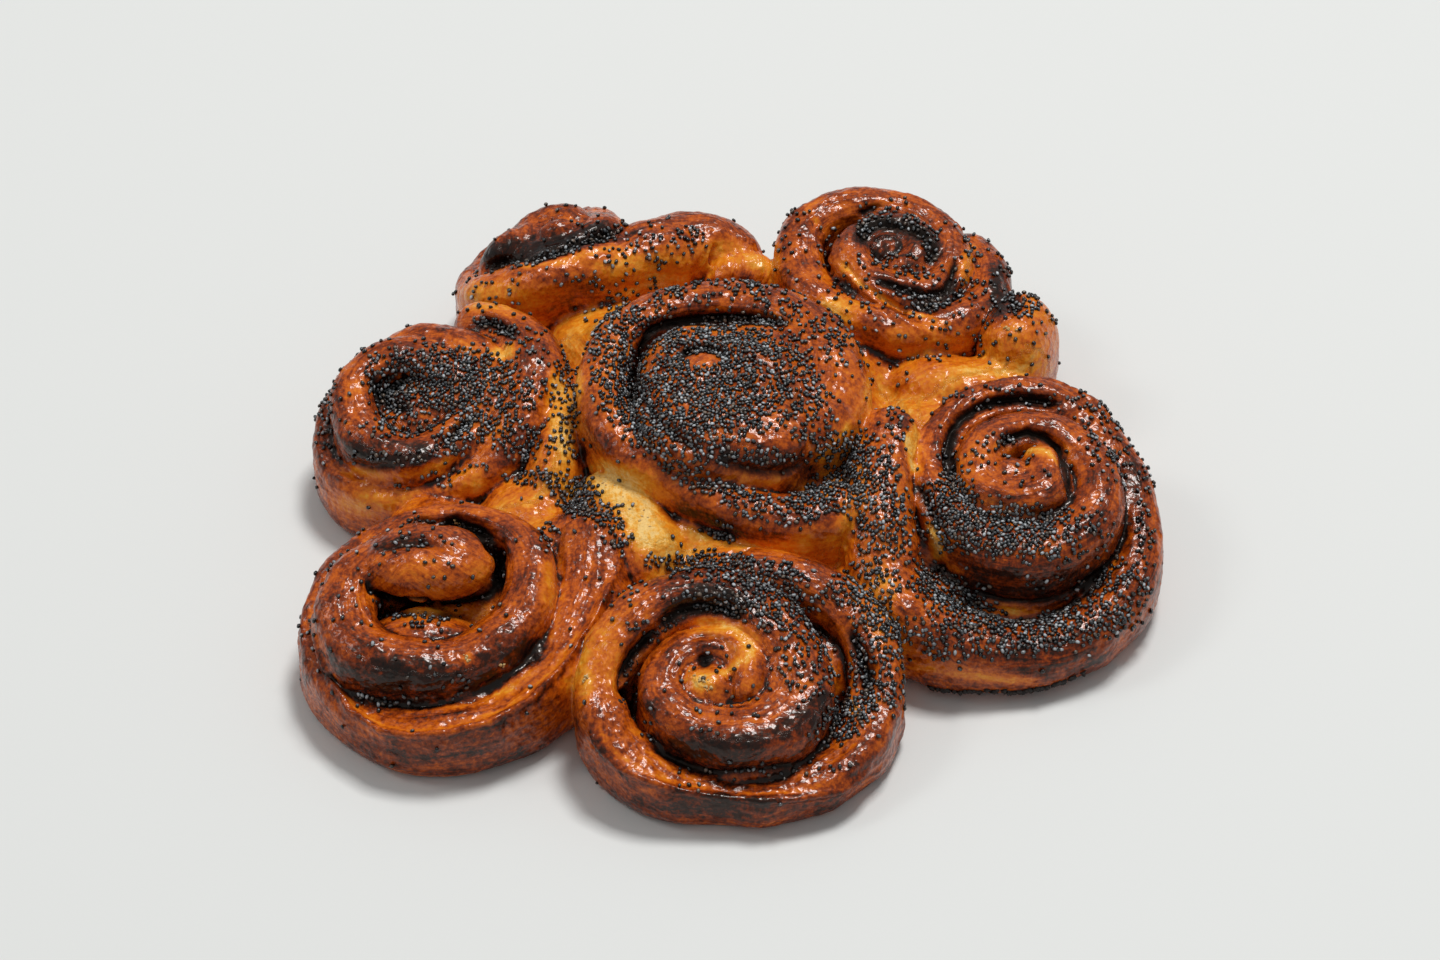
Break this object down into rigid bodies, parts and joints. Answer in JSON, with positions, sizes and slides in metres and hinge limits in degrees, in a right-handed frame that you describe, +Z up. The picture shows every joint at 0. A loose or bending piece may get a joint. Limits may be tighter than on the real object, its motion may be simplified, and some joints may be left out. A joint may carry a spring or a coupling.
{
  "type": "poppy seed bun",
  "caption": "Pull-apart bun of spiral rolls baked together round a middle one, with a glossy brown crust and poppy seeds.",
  "frame": {"origin": "middle of the flat base, under the centre of the bounding box", "axes": "+Z up, +X to the right and +Y to the back as pictured"},
  "size_m": [0.2196, 0.2157, 0.05],
  "materials": {
    "crust": "egg-washed, browned and glossy"
  },
  "bodies": {
    "root": {"bun": "crust"}
  },
  "joints": []
}
